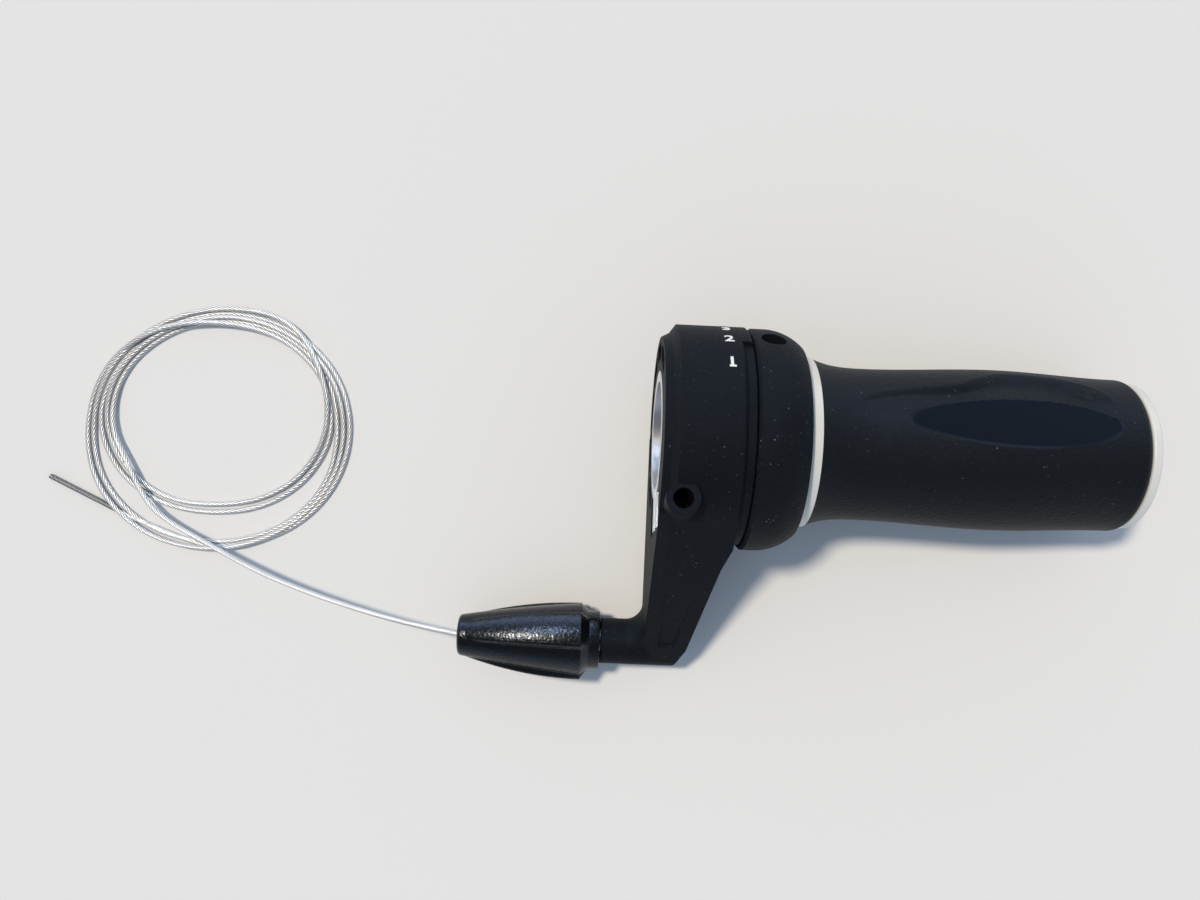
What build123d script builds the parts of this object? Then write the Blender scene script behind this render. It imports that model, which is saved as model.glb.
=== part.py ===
from build123d import *
import os
from math import asin, atan2, cos, degrees, hypot, pi, radians, sin, sqrt, tan

# Twist grip shifter for the right hand end of a flat handlebar, in mm.
# It lies as it was put down on a table: the bar axis runs along +X and slopes down
# to the outer end, +Y points away from the arm and +Z is up.
# The origin is the centre of the bar bore at the inboard face.

# Fits, as gaps between the surfaces of two pieces
BAR_FIT = 0.05
SEAT_FIT = 0.05
RUN_FIT = 0.1
END_PLAY = 0.2

# Handlebar clamp
BAR_D = 22.2
BAND_WALL = 2.2
BAND_WIDTH = 8.0
BAND_SLIT = 1.6
EAR_THICK = 3.4
EAR_MARGIN = 3.6
SCREW_D = 4.0
SCREW_OFFSET = 16.2
SCREW_LEAN = 13.0
SCREW_TIP = 1.0
HEAD_D = 6.6
HEAD_H = 4.0
HEX_KEY = 3.0
HEX_DEPTH = 2.4
NUT_WIDE = 7.0
NUT_H = 3.2
CLAMP_ROOM = 0.4

# Housing: its steps and walls count inwards from the number band's radius
HOUSING_R = 23.0
FACE_STEP = 2.6
BEVEL_STEP = 1.8
BEVEL_X = 1.5
NUMBERS_X = 2.8
BAND_PROUD = 0.1
SKIRT_STEP = 1.1
SKIRT_WALL = 1.3
SKIRT_WIDE = 1.8
EDGE = 0.6
WEB = 1.5
RIM_ROOM = 1.8
SPIGOT_FIT = 0.25
SPIGOT_WALL = 1.4
SPIGOT_BACK = 4.4
BEAD_H = 0.5
BEAD_WIDE = 1.8
TAB_FROM = 55.0
TAB_SWEEP = 95.0
BOSS_R = 3.3
BOSS_BACK = 4.4
KEY_HOLE_R = 1.95
POCKET_RIM = 1.2
POCKET_WIDE = 3.6
POCKET_DEEP = 5.0
POCKET_ARC = 17.0
POCKET_STEP = 33.0
POCKETS = 6
POCKET_FROM = -55.0

# Arm, elbow and stub
STUB_OFFSET = 46.2
STUB_R = 5.0
STUB_LONG = 9.4
STUB_FLARE = 4.0
ARM_WIDE = 15.2
ARM_SINK = 0.15
ARM_SHOULDER = 22.0
ARM_NECK_WIDE = 13.6
ARM_NECK = 26.5
ELBOW_WIDE = 9.2
ELBOW_CUT_X = 2.4
ELBOW_CUT_Y = 4.5
ARM_CHAMFER = 1.0
ARM_BEVEL = 2.2
PANEL_START = 5.2
PANEL_LONG = 17.0
PANEL_RIM = 3.0
PANEL_FROM = 3.4
PANEL_DEEP = 0.5
PANEL_TAPER = 35.0
ELBOW_BEND = 6.4
LINER_R = 1.9
LINER_BORE = 0.8
LINER_START = 13.0

# Shift wire and its head
WIRE_D = 1.2
WIRE_START = 7.0
HEAD_BARREL_D = 3.8
HEAD_BARREL_LONG = 4.4
HEAD_ANGLE = 61.0

# Drum
WASHER_T = 0.5
WASHER_R = 16.0
FLANGE_T = 1.5
GROOVE_WIDE = 1.8
RIM_OVER_WIRE = 0.9
RIM_PROUD = 0.1
HUB_R = 16.0
SEAT_T = 1.8
NECK_R = 15.0
TUBE_R = 13.2
TUBE_BORE_FIT = 0.3
GEARS = 7
GEAR_AT_REST = 2
GEAR_PITCH = 19.0
NOTCH_R = 1.1
NOTCH_WIDE = 2.3
LEAF_T = 0.4
LEAF_WIDE = 1.9
LEAF_BUMP = 0.7
LEAF_GAP = 0.15

# Cover, rings and rubber sleeve
COVER_GAP = 0.3
COVER_STEP = 0.2
COVER_LONG = 10.6
COVER_WALL = 2.2
COVER_FLAT = 3.1
COVER_ROUND_R = 11.0
COVER_LIP = 1.0
PORT_D = 5.0
PORT_INSET = 4.0
PORT_ANGLE = 61.0
COLLAR_R = 17.5
COLLAR_WIDE = 2.5
SLEEVE_LONG = 65.0
SLEEVE_LIP_R = 17.4
SLEEVE_LIP_SLOPE = -0.45
SLEEVE_NECK_R = 15.65
SLEEVE_NECK_X = 10.5
SLEEVE_SWELL_R = 16.6
SLEEVE_SWELL_X = 39.5
SLEEVE_END_R = 15.7
SLEEVE_CORNER = 1.8
SCOOP_SINK = 1.1
PAD_SINK = 0.75
PAD_LONG = 42.0
PAD_WIDE = 10.4
PAD_BACK = 27.4
PAD_ANGLE = 20.0
THUMB_SINK = 1.15
THUMB_LONG = 36.0
THUMB_BACK = 21.5
THUMB_ANGLE = 48.0
REST_SINK = 0.7
REST_LONG = 32.0
REST_BACK = 46.5
REST_ANGLE = 28.0
END_RING_R = 15.0
END_RING_WIDE = 1.9
RING_EDGE = 0.5

# Cable adjuster
BARREL_GAP = 0.2
BARREL_LONG = 31.5
BARREL_TIP_R = 4.4
BARREL_BODY_R = 8.0
BARREL_COLLAR_R = 6.5
BARREL_COLLAR_LONG = 2.4
BARREL_CHAMFER_LONG = 1.8
BODY_BULGE = 0.35
PETALS = 3
PETAL_R = 8.8
PETAL_FROM = 1.8
PETAL_ARC = 66.0
PETAL_ANGLE = 17.5
PETAL_BULGE = 0.85
CASING_R = 2.6
CASING_DEEP = 9.0
STEM_R = 2.4
STEM_BORE = 0.9
STEM_LONG = 26.5
STEM_REACH = 9.4
RECESS_R = 4.4
RECESS_DEEP = 5.6
DETENT_T = 1.5
SPRING_R = 3.4
SPRING_WIRE = 0.7
SPRING_TURNS = 3

# Free wire: centre of the coil, its outer and inner half sizes and its height
COIL_X, COIL_Y = -105.0, -2.5
COIL_HALF_X, COIL_HALF_Y = 32.6, 28.6
COIL_EYE_X, COIL_EYE_Y = -104.6, 0.6
COIL_EYE_HALF_X, COIL_EYE_HALF_Y = 24.3, 20.3
COIL_HIGH = 3.6
# Points that the wire passes on its way from the adjuster to the coil, above the table
LEAD_POINTS = [
    (-56.0, -43.7, 11.7),
    (-72.5, -39.6, 11.2),
    (-87.5, -35.6, 9.2),
    (-98.0, -32.3, 7.2),
    (-107.3, -28.2, 5.4),
    (-115.0, -23.5, 4.5),
    (-121.9, -17.3, 4.3),
    (-125.6, -9.5, 4.3),
]
# Share of a stretch of its route that the wire's bend takes at each end
BEND_SHARE = 0.45
# The bare end lies on the table
TAIL_POINTS = [(-127.0, -22.8), (-137.2, -19.7), (-147.0, -15.9)]

# Radii that follow from the sizes above
FACE_R = HOUSING_R - FACE_STEP
BEVEL_R = HOUSING_R - BEVEL_STEP
SKIRT_R = HOUSING_R - SKIRT_STEP
CHAMBER_R = SKIRT_R - SKIRT_WALL
COVER_R = HOUSING_R - COVER_STEP
POCKET_R = FACE_R - POCKET_RIM - POCKET_WIDE / 2
BOSS_REACH = HOUSING_R - BOSS_BACK
BAND_R = BAR_D / 2 + BAR_FIT
SPIGOT_BORE = BAR_D / 2 + SPIGOT_FIT
SPIGOT_R = SPIGOT_BORE + SPIGOT_WALL
TUBE_BORE = BAR_D / 2 + TUBE_BORE_FIT
RIM_R = CHAMBER_R - RIM_ROOM
SPOOL_R = RIM_R - RIM_OVER_WIRE - WIRE_D / 2
# the wire leaves the foot of the spool level with the stub
STUB_DROP = SPOOL_R

# Positions along the bar that follow from the sizes above
BAND_POCKET = BAND_WIDTH + SEAT_FIT
CHAMBER_X = BAND_POCKET + WEB
NOSE_X = CHAMBER_X + WASHER_T + RUN_FIT
GROOVE_X = NOSE_X + FLANGE_T + GROOVE_WIDE / 2
NUMBERS_END = ARM_WIDE + BAND_PROUD
SKIRT_END = NUMBERS_END + SKIRT_WIDE
RIM_END = SKIRT_END + RIM_PROUD
COVER_X = SKIRT_END + COVER_GAP
COVER_ROUND_X = COVER_X + COVER_FLAT
COVER_END = COVER_X + COVER_LONG
COVER_SEAT_X = COVER_END - COVER_WALL
PORT_X = COVER_X + PORT_INSET
SPIGOT_END = COVER_END - SPIGOT_BACK
SLEEVE_X = COVER_END + COLLAR_WIDE
SLEEVE_END = SLEEVE_X + SLEEVE_LONG
TUBE_END = SLEEVE_END + END_RING_WIDE
BARREL_X = -STUB_LONG - BARREL_GAP
TIP_X = BARREL_X - BARREL_LONG

# The shifter rests on the rounded cover and on the rounded end of the rubber sleeve:
# one line touches both circles, and its slope is the slope of the bar axis.
REACH = (SLEEVE_END - SLEEVE_CORNER) - COVER_ROUND_X
RISE = (COVER_R - COVER_ROUND_R) - (SLEEVE_END_R - SLEEVE_CORNER)
TILT = atan2(RISE, REACH) + asin((COVER_ROUND_R - SLEEVE_CORNER) / hypot(REACH, RISE))
TABLE = -(COVER_ROUND_X * sin(TILT) + (COVER_R - COVER_ROUND_R) * cos(TILT) + COVER_ROUND_R)

ALONG = Vector(cos(TILT), 0, -sin(TILT))
ACROSS = Vector(0, 1, 0)
UP = Vector(sin(TILT), 0, cos(TILT))
BAR_AXIS = Axis((0, 0, 0), ALONG)


def at(x, y, z):
    """The point at x along the bar, y to the side and z above the bar axis."""
    return ALONG * x + ACROSS * y + UP * z


def section(x, y=0, z=0):
    """A plane square to the bar."""
    return Plane(origin=at(x, y, z), x_dir=ACROSS, z_dir=ALONG)


def plan(z):
    """A plane level with the bar, seen from above."""
    return Plane(origin=at(0, 0, z), x_dir=ALONG, z_dir=UP)


def around(angle, y=0, z=0):
    """A plane through an axis along the bar; its y points away from that axis.
    The angle is 0 straight up and grows towards +Y."""
    out = ACROSS * sin(radians(angle)) + UP * cos(radians(angle))
    return Plane(origin=at(0, y, z), x_dir=ALONG, z_dir=ALONG.cross(out))


# The clamp's own directions: along the ears, and along the screw towards its head
EARS = UP * sin(radians(SCREW_LEAN)) - ACROSS * cos(radians(SCREW_LEAN))
SCREW = ACROSS * sin(radians(SCREW_LEAN)) + UP * cos(radians(SCREW_LEAN))
BAND_MID = BAND_WIDTH / 2
EAR_FACE = BAND_SLIT / 2 + EAR_THICK


def across_screw(t):
    """A plane square to the clamp screw, t above the slit; its x points along the bar."""
    spot = ALONG * BAND_MID + EARS * SCREW_OFFSET + SCREW * t
    return Plane(origin=spot, x_dir=ALONG, z_dir=SCREW)


def clamp_end(x):
    """A plane square to the bar whose x points along the ears."""
    return Plane(origin=ALONG * x, x_dir=EARS, z_dir=ALONG)


# The wire leaves the foot of the spool, runs down the arm and turns into the stub
STEM_END = STEM_REACH - STUB_LONG
ELBOW_X = STEM_END + END_PLAY + ELBOW_BEND
ELBOW_RUN = (ELBOW_X - GROOVE_X) / (STUB_OFFSET - WIRE_START)


def arm_point(y):
    """A point of the wire's straight run in the arm, as (along, across)."""
    return (GROOVE_X + ELBOW_RUN * (y - WIRE_START), -y)


ELBOW = (ELBOW_X, -STUB_OFFSET)
BARREL_AXIS = Axis(at(0, -STUB_OFFSET, -STUB_DROP), ALONG)

# The arm's upper and lower flats touch the stub and sink a little into the band
ARM_BAND_R = HOUSING_R - ARM_SINK
ARM_SPREAD = asin((ARM_BAND_R - STUB_R) / hypot(STUB_OFFSET, STUB_DROP))
ARM_FALL = atan2(STUB_DROP, STUB_OFFSET)
ARM_TOP = (-ARM_BAND_R * sin(ARM_SPREAD + ARM_FALL), ARM_BAND_R * cos(ARM_SPREAD + ARM_FALL))
ARM_FOOT = (-ARM_BAND_R * sin(ARM_SPREAD - ARM_FALL), -ARM_BAND_R * cos(ARM_SPREAD - ARM_FALL))
ARM_OUT = UP * cos(ARM_SPREAD + ARM_FALL) - ACROSS * sin(ARM_SPREAD + ARM_FALL)
ARM_UPHILL = ACROSS * cos(ARM_SPREAD + ARM_FALL) + UP * sin(ARM_SPREAD + ARM_FALL)
ELBOW_Y = STUB_OFFSET + STUB_R
ARM_SLANT = (ARM_NECK_WIDE - ELBOW_WIDE) / (ELBOW_Y - ELBOW_CUT_Y - ARM_NECK)
PANEL_SLANT = ARM_SLANT * cos(ARM_SPREAD + ARM_FALL)
PANEL_TILT = atan2(PANEL_DEEP, PANEL_LONG)
PANEL_FOOT = at(0, -STUB_OFFSET, -STUB_DROP) + ARM_OUT * (STUB_R - PANEL_DEEP)
PANEL = Plane(
    origin=PANEL_FOOT + ARM_UPHILL * PANEL_START,
    x_dir=ALONG,
    z_dir=ARM_OUT * cos(PANEL_TILT) - ARM_UPHILL * sin(PANEL_TILT),
)

with BuildPart() as stub_flare:
    # concave flare of the stub into the arm, cut to the arm's bevelled side view
    with BuildSketch(around(0, -STUB_OFFSET, -STUB_DROP)):
        with BuildLine():
            flare = JernArc((-STUB_FLARE, STUB_R), (1, 0), STUB_FLARE, 90)
            Polyline(
                flare @ 1,
                (ELBOW_X, STUB_R + STUB_FLARE),
                (ELBOW_X, STUB_R - EDGE),
                (-STUB_FLARE, STUB_R - EDGE),
                flare @ 0,
            )
        make_face()
    revolve(axis=BARREL_AXIS)
    with BuildSketch(section(-STUB_FLARE)):
        with BuildLine():
            Line(ARM_TOP, ARM_FOOT)
        with Locations((-STUB_OFFSET, -STUB_DROP)):
            Circle(STUB_R)
        make_hull()
        offset(amount=-ARM_CHAMFER, kind=Kind.INTERSECTION, mode=Mode.REPLACE)
    extrude(amount=STUB_FLARE + EDGE, mode=Mode.INTERSECT)

with BuildPart() as housing:
    # teardrop arm: its side view runs from the band to the round of the stub
    with BuildSketch(section(0)):
        with BuildLine():
            Line(ARM_TOP, ARM_FOOT)
        with Locations((-STUB_OFFSET, -STUB_DROP)):
            Circle(STUB_R)
        make_hull()
    extrude(amount=ARM_WIDE)
    with BuildSketch(plan(-2 * HOUSING_R)):
        with BuildLine():
            Polyline(
                (0, 0),
                (0, -ELBOW_Y),
                (ELBOW_WIDE - ELBOW_CUT_X, -ELBOW_Y),
                (ELBOW_WIDE, -ELBOW_Y + ELBOW_CUT_Y),
                (ARM_NECK_WIDE, -ARM_NECK),
                (ARM_WIDE, -ARM_SHOULDER),
                (ARM_WIDE, 0),
                close=True,
            )
        make_face()
    extrude(amount=4 * HOUSING_R, mode=Mode.INTERSECT)
    front = faces().sort_by(BAR_AXIS)[0]
    chamfer(front.edges().sort_by(Axis.Y)[:-1], ARM_CHAMFER, ARM_BEVEL, reference=front)
    # sunken panel at the foot of the arm, which runs out towards the band
    with BuildSketch(PANEL):
        with BuildLine():
            Polyline(
                (PANEL_FROM, 0),
                (ELBOW_WIDE - PANEL_RIM, 0),
                (ELBOW_WIDE + PANEL_LONG * PANEL_SLANT - PANEL_RIM, PANEL_LONG),
                (PANEL_FROM, PANEL_LONG),
                close=True,
            )
        make_face()
    extrude(amount=HOUSING_R, taper=-PANEL_TAPER, mode=Mode.SUBTRACT)
    with BuildSketch(section(0)):
        Circle(FACE_R - ARM_CHAMFER)
    extrude(amount=ARM_WIDE, mode=Mode.SUBTRACT)
    # stub that the adjuster screws into
    with BuildSketch(section(-STUB_LONG, -STUB_OFFSET, -STUB_DROP)):
        Circle(STUB_R)
    extrude(amount=STUB_LONG + ELBOW_X)
    add(stub_flare.part)
    # number band, skirt over the spool and spigot under the drum
    with BuildSketch(around(0)):
        with BuildLine():
            Polyline(
                (0, SPIGOT_BORE),
                (0, FACE_R),
                (BEVEL_X, BEVEL_R),
                (NUMBERS_X, HOUSING_R),
                (NUMBERS_END - EDGE, HOUSING_R),
                (NUMBERS_END, HOUSING_R - EDGE),
                (NUMBERS_END, SKIRT_R),
                (SKIRT_END, SKIRT_R),
                (SKIRT_END, SPIGOT_R),
                (SPIGOT_END - BEAD_WIDE, SPIGOT_R),
                (SPIGOT_END - BEAD_WIDE, SPIGOT_R + BEAD_H),
                (SPIGOT_END - BEAD_H, SPIGOT_R + BEAD_H),
                (SPIGOT_END, SPIGOT_R),
                (SPIGOT_END, SPIGOT_BORE),
                close=True,
            )
        make_face()
    revolve(axis=BAR_AXIS)
    # tab that closes the groove over the top of the band
    with BuildSketch(around(TAB_FROM + TAB_SWEEP)):
        with BuildLine():
            Polyline(
                (NUMBERS_END - 2 * EDGE, SKIRT_R - EDGE),
                (NUMBERS_END - 2 * EDGE, HOUSING_R),
                (SKIRT_END - EDGE, HOUSING_R),
                (SKIRT_END, HOUSING_R - EDGE),
                (SKIRT_END, SKIRT_R - EDGE),
                close=True,
            )
        make_face()
    revolve(axis=BAR_AXIS, revolution_arc=TAB_SWEEP)
    # boss round the key hole of the clamp screw
    with BuildSketch(across_screw(EAR_FACE + HEAD_H)):
        Circle(BOSS_R)
    extrude(amount=BOSS_REACH - EAR_FACE - HEAD_H)
    # chamber of the spool
    with BuildSketch(section(CHAMBER_X)):
        Circle(CHAMBER_R)
        Circle(SPIGOT_R, mode=Mode.SUBTRACT)
    extrude(amount=SKIRT_END - CHAMBER_X, mode=Mode.SUBTRACT)
    # pocket of the clamp band, with room for the ears, the screw head and the nut
    with BuildSketch(section(0)):
        Circle(BAND_R + BAND_WALL + SEAT_FIT)
    extrude(amount=BAND_POCKET, mode=Mode.SUBTRACT)
    with BuildSketch(clamp_end(0)):
        with BuildLine():
            ear_tip = SCREW_OFFSET + EAR_MARGIN + CLAMP_ROOM
            head_top = EAR_FACE + HEAD_H + CLAMP_ROOM
            nut_foot = EAR_FACE + NUT_H + SCREW_TIP + CLAMP_ROOM
            Polyline(
                (0, head_top),
                (ear_tip, head_top),
                (ear_tip, -nut_foot),
                (0, -nut_foot),
                close=True,
            )
        make_face()
        Circle(BAND_R + BAND_WALL - SEAT_FIT, mode=Mode.SUBTRACT)
    extrude(amount=BAND_POCKET, mode=Mode.SUBTRACT)
    with BuildSketch(across_screw(EAR_FACE)):
        Circle(KEY_HOLE_R)
    extrude(amount=BOSS_REACH, mode=Mode.SUBTRACT)
    # moulded pockets in the inboard face, with ribs left between them
    with BuildSketch(section(0)):
        for i in range(POCKETS):
            SlotArc(CenterArc((0, 0), POCKET_R, POCKET_FROM + i * POCKET_STEP, POCKET_ARC), POCKET_WIDE)
    extrude(amount=POCKET_DEEP, mode=Mode.SUBTRACT)
    # way of the cable liner and hole of the adjuster screw
    with BuildLine(plan(-STUB_DROP)) as channel:
        FilletPolyline(arm_point(WIRE_START), ELBOW, (-STUB_LONG, -STUB_OFFSET), radius=ELBOW_BEND)
    with BuildSketch(Plane(channel.line @ 0, z_dir=channel.line % 0)):
        Circle(LINER_R + SEAT_FIT)
    sweep(path=channel.line, mode=Mode.SUBTRACT)
    with BuildSketch(section(-STUB_LONG, -STUB_OFFSET, -STUB_DROP)):
        Circle(STEM_R + RUN_FIT)
    extrude(amount=STUB_LONG + STEM_END + END_PLAY, mode=Mode.SUBTRACT)
housing.part.label = "housing"

with BuildPart() as clamp_band:
    with BuildSketch(clamp_end(0)):
        Circle(BAND_R + BAND_WALL)
        with Locations(((SCREW_OFFSET + EAR_MARGIN) / 2, 0)):
            Rectangle(SCREW_OFFSET + EAR_MARGIN, 2 * EAR_FACE)
        Circle(BAND_R, mode=Mode.SUBTRACT)
        with Locations(((SCREW_OFFSET + EAR_MARGIN) / 2, 0)):
            Rectangle(SCREW_OFFSET + EAR_MARGIN, BAND_SLIT, mode=Mode.SUBTRACT)
    extrude(amount=BAND_WIDTH)
    with BuildSketch(across_screw(-EAR_FACE)):
        Circle(SCREW_D / 2 + SEAT_FIT)
    extrude(amount=2 * EAR_FACE, mode=Mode.SUBTRACT)
clamp_band.part.label = "clamp_band"

with BuildPart() as clamp_screw:
    with BuildSketch(across_screw(EAR_FACE)):
        Circle(HEAD_D / 2)
    extrude(amount=HEAD_H)
    with BuildSketch(across_screw(EAR_FACE)):
        Circle(SCREW_D / 2)
    extrude(amount=-(2 * EAR_FACE + NUT_H + SCREW_TIP))
    with BuildSketch(across_screw(EAR_FACE + HEAD_H)):
        RegularPolygon(HEX_KEY / 2, 6, major_radius=False)
    extrude(amount=-HEX_DEPTH, mode=Mode.SUBTRACT)
clamp_screw.part.label = "clamp_screw"

with BuildPart() as clamp_nut:
    with BuildSketch(across_screw(-EAR_FACE)):
        Rectangle(NUT_WIDE, NUT_WIDE)
        Circle(SCREW_D / 2 + SEAT_FIT, mode=Mode.SUBTRACT)
    extrude(amount=-NUT_H)
clamp_nut.part.label = "clamp_nut"

with BuildPart() as thrust_washer:
    with BuildSketch(section(CHAMBER_X)):
        Circle(WASHER_R)
        Circle(SPIGOT_R + RUN_FIT, mode=Mode.SUBTRACT)
    extrude(amount=WASHER_T)
thrust_washer.part.label = "thrust_washer"

# leaf across the top of the chamber, with a bump that drops into a notch of the drum
LEAF_Z = RIM_R + LEAF_GAP
LEAF_HALF = sqrt((CHAMBER_R - SEAT_FIT) ** 2 - (LEAF_Z + LEAF_T) ** 2)
with BuildPart() as detent_spring:
    with BuildSketch(section(RIM_END - NOTCH_WIDE + (NOTCH_WIDE - LEAF_WIDE) / 2)):
        with BuildLine():
            Polyline(
                (-LEAF_HALF, LEAF_Z),
                (-NOTCH_R, LEAF_Z),
                (-LEAF_T, LEAF_Z - LEAF_BUMP),
                (LEAF_T, LEAF_Z - LEAF_BUMP),
                (NOTCH_R, LEAF_Z),
                (LEAF_HALF, LEAF_Z),
                (LEAF_HALF, LEAF_Z + LEAF_T),
                (-LEAF_HALF, LEAF_Z + LEAF_T),
                close=True,
            )
        make_face()
    extrude(amount=LEAF_WIDE)
detent_spring.part.label = "detent_spring"

with BuildPart() as cable_liner:
    with BuildLine(plan(-STUB_DROP)) as liner:
        FilletPolyline(
            arm_point(LINER_START), ELBOW, (STEM_END + END_PLAY, -STUB_OFFSET), radius=ELBOW_BEND
        )
    with BuildSketch(Plane(liner.line @ 0, z_dir=liner.line % 0)):
        Circle(LINER_R)
        Circle(LINER_BORE, mode=Mode.SUBTRACT)
    sweep(path=liner.line)
cable_liner.part.label = "cable_liner"

with BuildPart() as cable_run:
    with BuildLine(plan(-STUB_DROP)) as inner_wire:
        FilletPolyline(arm_point(WIRE_START), ELBOW, (TIP_X, -STUB_OFFSET), radius=ELBOW_BEND)
    with BuildSketch(Plane(inner_wire.line @ 0, z_dir=inner_wire.line % 0)):
        Circle(WIRE_D / 2)
    sweep(path=inner_wire.line)
cable_run.part.label = "cable_run"

HEAD_SPOT = radians(HEAD_ANGLE)
HEAD_PLANE = Plane(
    origin=at(GROOVE_X, SPOOL_R * sin(HEAD_SPOT), SPOOL_R * cos(HEAD_SPOT)),
    x_dir=ALONG,
    z_dir=ACROSS * cos(HEAD_SPOT) - UP * sin(HEAD_SPOT),
)
with BuildPart() as drum:
    with BuildSketch(around(0)):
        with BuildLine():
            Polyline(
                (NOSE_X, SPIGOT_R + RUN_FIT),
                (NOSE_X, RIM_R),
                (GROOVE_X - GROOVE_WIDE / 2, RIM_R),
                (GROOVE_X - GROOVE_WIDE / 2, SPOOL_R - WIRE_D / 2 - SEAT_FIT),
                (GROOVE_X + GROOVE_WIDE / 2, SPOOL_R - WIRE_D / 2 - SEAT_FIT),
                (GROOVE_X + GROOVE_WIDE / 2, RIM_R),
                (RIM_END, RIM_R),
                (RIM_END, HUB_R),
                (COVER_SEAT_X - SEAT_T, HUB_R),
                (COVER_SEAT_X - SEAT_T, COVER_R - COVER_WALL - SEAT_FIT),
                (COVER_SEAT_X, COVER_R - COVER_WALL - SEAT_FIT),
                (COVER_SEAT_X, NECK_R),
                (SLEEVE_X, NECK_R),
                (SLEEVE_X, TUBE_R),
                (TUBE_END, TUBE_R),
                (TUBE_END, TUBE_BORE),
                (SPIGOT_END + END_PLAY, TUBE_BORE),
                (SPIGOT_END + END_PLAY, SPIGOT_R + BEAD_H + RUN_FIT),
                (SPIGOT_END - BEAD_WIDE - END_PLAY, SPIGOT_R + BEAD_H + RUN_FIT),
                (SPIGOT_END - BEAD_WIDE - END_PLAY, SPIGOT_R + RUN_FIT),
                close=True,
            )
        make_face()
    revolve(axis=BAR_AXIS)
    # one notch for each gear; the one of the gear at rest is under the leaf
    with BuildSketch(section(RIM_END - NOTCH_WIDE)):
        with PolarLocations(
            RIM_R + NOTCH_R / 4,
            GEARS,
            start_angle=90 - GEAR_PITCH * (GEAR_AT_REST - 1),
            angular_range=GEAR_PITCH * (GEARS - 1),
            endpoint=True,
        ):
            Circle(NOTCH_R)
    extrude(amount=NOTCH_WIDE, mode=Mode.SUBTRACT)
    # pocket that the head of the wire is laid into from outside
    with BuildSketch(HEAD_PLANE.offset(-HEAD_BARREL_LONG - SEAT_FIT)):
        pocket_wide = HEAD_BARREL_D + 2 * SEAT_FIT
        Circle(pocket_wide / 2)
        with Locations((0, pocket_wide)):
            Rectangle(pocket_wide, 2 * pocket_wide)
    extrude(amount=HEAD_BARREL_LONG + 2 * SEAT_FIT, mode=Mode.SUBTRACT)
drum.part.label = "drum"

with BuildPart() as cable_head:
    with BuildSketch(HEAD_PLANE):
        Circle(HEAD_BARREL_D / 2)
    extrude(amount=-HEAD_BARREL_LONG)
cable_head.part.label = "cable_head"

with BuildPart() as cable_wrap:
    with BuildLine(section(GROOVE_X)) as wrap:
        CenterArc((0, 0), SPOOL_R, 90 - HEAD_ANGLE, HEAD_ANGLE - 180)
    with BuildSketch(Plane(wrap.line @ 0, z_dir=wrap.line % 0)):
        Circle(WIRE_D / 2)
    sweep(path=wrap.line)
cable_wrap.part.label = "cable_wrap"

with BuildPart() as spool_cover:
    round_sweep = degrees(asin((COVER_END - COVER_ROUND_X) / COVER_ROUND_R))
    with BuildSketch(around(0)):
        with BuildLine():
            shoulder = JernArc((COVER_ROUND_X, COVER_R), (1, 0), COVER_ROUND_R, -round_sweep)
            Polyline(
                shoulder @ 1,
                (COVER_END, NECK_R + SEAT_FIT),
                (COVER_SEAT_X, NECK_R + SEAT_FIT),
                (COVER_SEAT_X, COVER_R - COVER_WALL),
                (COVER_X, COVER_R - COVER_WALL),
                (COVER_X, COVER_R - EDGE),
                (COVER_X + EDGE, COVER_R),
                shoulder @ 0,
            )
        make_face()
        fillet(vertices().sort_by_distance(around(0).from_local_coords(shoulder @ 1))[0], COVER_LIP)
    revolve(axis=BAR_AXIS)
    out = ACROSS * sin(radians(PORT_ANGLE)) + UP * cos(radians(PORT_ANGLE))
    with BuildSketch(Plane(origin=ALONG * PORT_X + out * HUB_R, x_dir=ALONG, z_dir=out)):
        Circle(PORT_D / 2)
    extrude(amount=COVER_R, mode=Mode.SUBTRACT)
spool_cover.part.label = "spool_cover"

with BuildPart() as collar_ring:
    with BuildSketch(around(0)):
        with Locations((COVER_END + COLLAR_WIDE / 2, (NECK_R + SEAT_FIT + COLLAR_R) / 2)):
            Rectangle(COLLAR_WIDE, COLLAR_R - NECK_R - SEAT_FIT)
    revolve(axis=BAR_AXIS)
collar_ring.part.label = "collar_ring"


def pad_plane(z):
    """A plane over the middle of the oval pad, z from the bar axis, whose x runs along the bar."""
    out = ACROSS * sin(radians(PAD_ANGLE)) + UP * cos(radians(PAD_ANGLE))
    return Plane(origin=ALONG * (SLEEVE_END - PAD_BACK) + out * z, x_dir=ALONG, z_dir=out)


with BuildPart() as thumb_scoop:
    # two long hollows under the thumb, which leave the oval pad standing
    for angle, back, long, foot, sink in [
        (THUMB_ANGLE, THUMB_BACK, THUMB_LONG, SLEEVE_SWELL_R, THUMB_SINK),
        (REST_ANGLE, REST_BACK, REST_LONG, (SLEEVE_NECK_R + SLEEVE_SWELL_R) / 2, REST_SINK),
    ]:
        middle = SLEEVE_END - back
        with BuildSketch(around(angle)):
            with BuildLine():
                ThreePointArc((middle - long / 2, foot), (middle, foot - sink), (middle + long / 2, foot))
                Polyline(
                    (middle + long / 2, foot),
                    (middle + long / 2, 2 * SLEEVE_SWELL_R),
                    (middle - long / 2, 2 * SLEEVE_SWELL_R),
                    (middle - long / 2, foot),
                )
            make_face()
        extrude(amount=SLEEVE_SWELL_R, both=True)
    with BuildSketch(pad_plane(0)):
        Ellipse(PAD_LONG / 2, PAD_WIDE / 2)
    extrude(amount=3 * SLEEVE_SWELL_R, mode=Mode.SUBTRACT)

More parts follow.
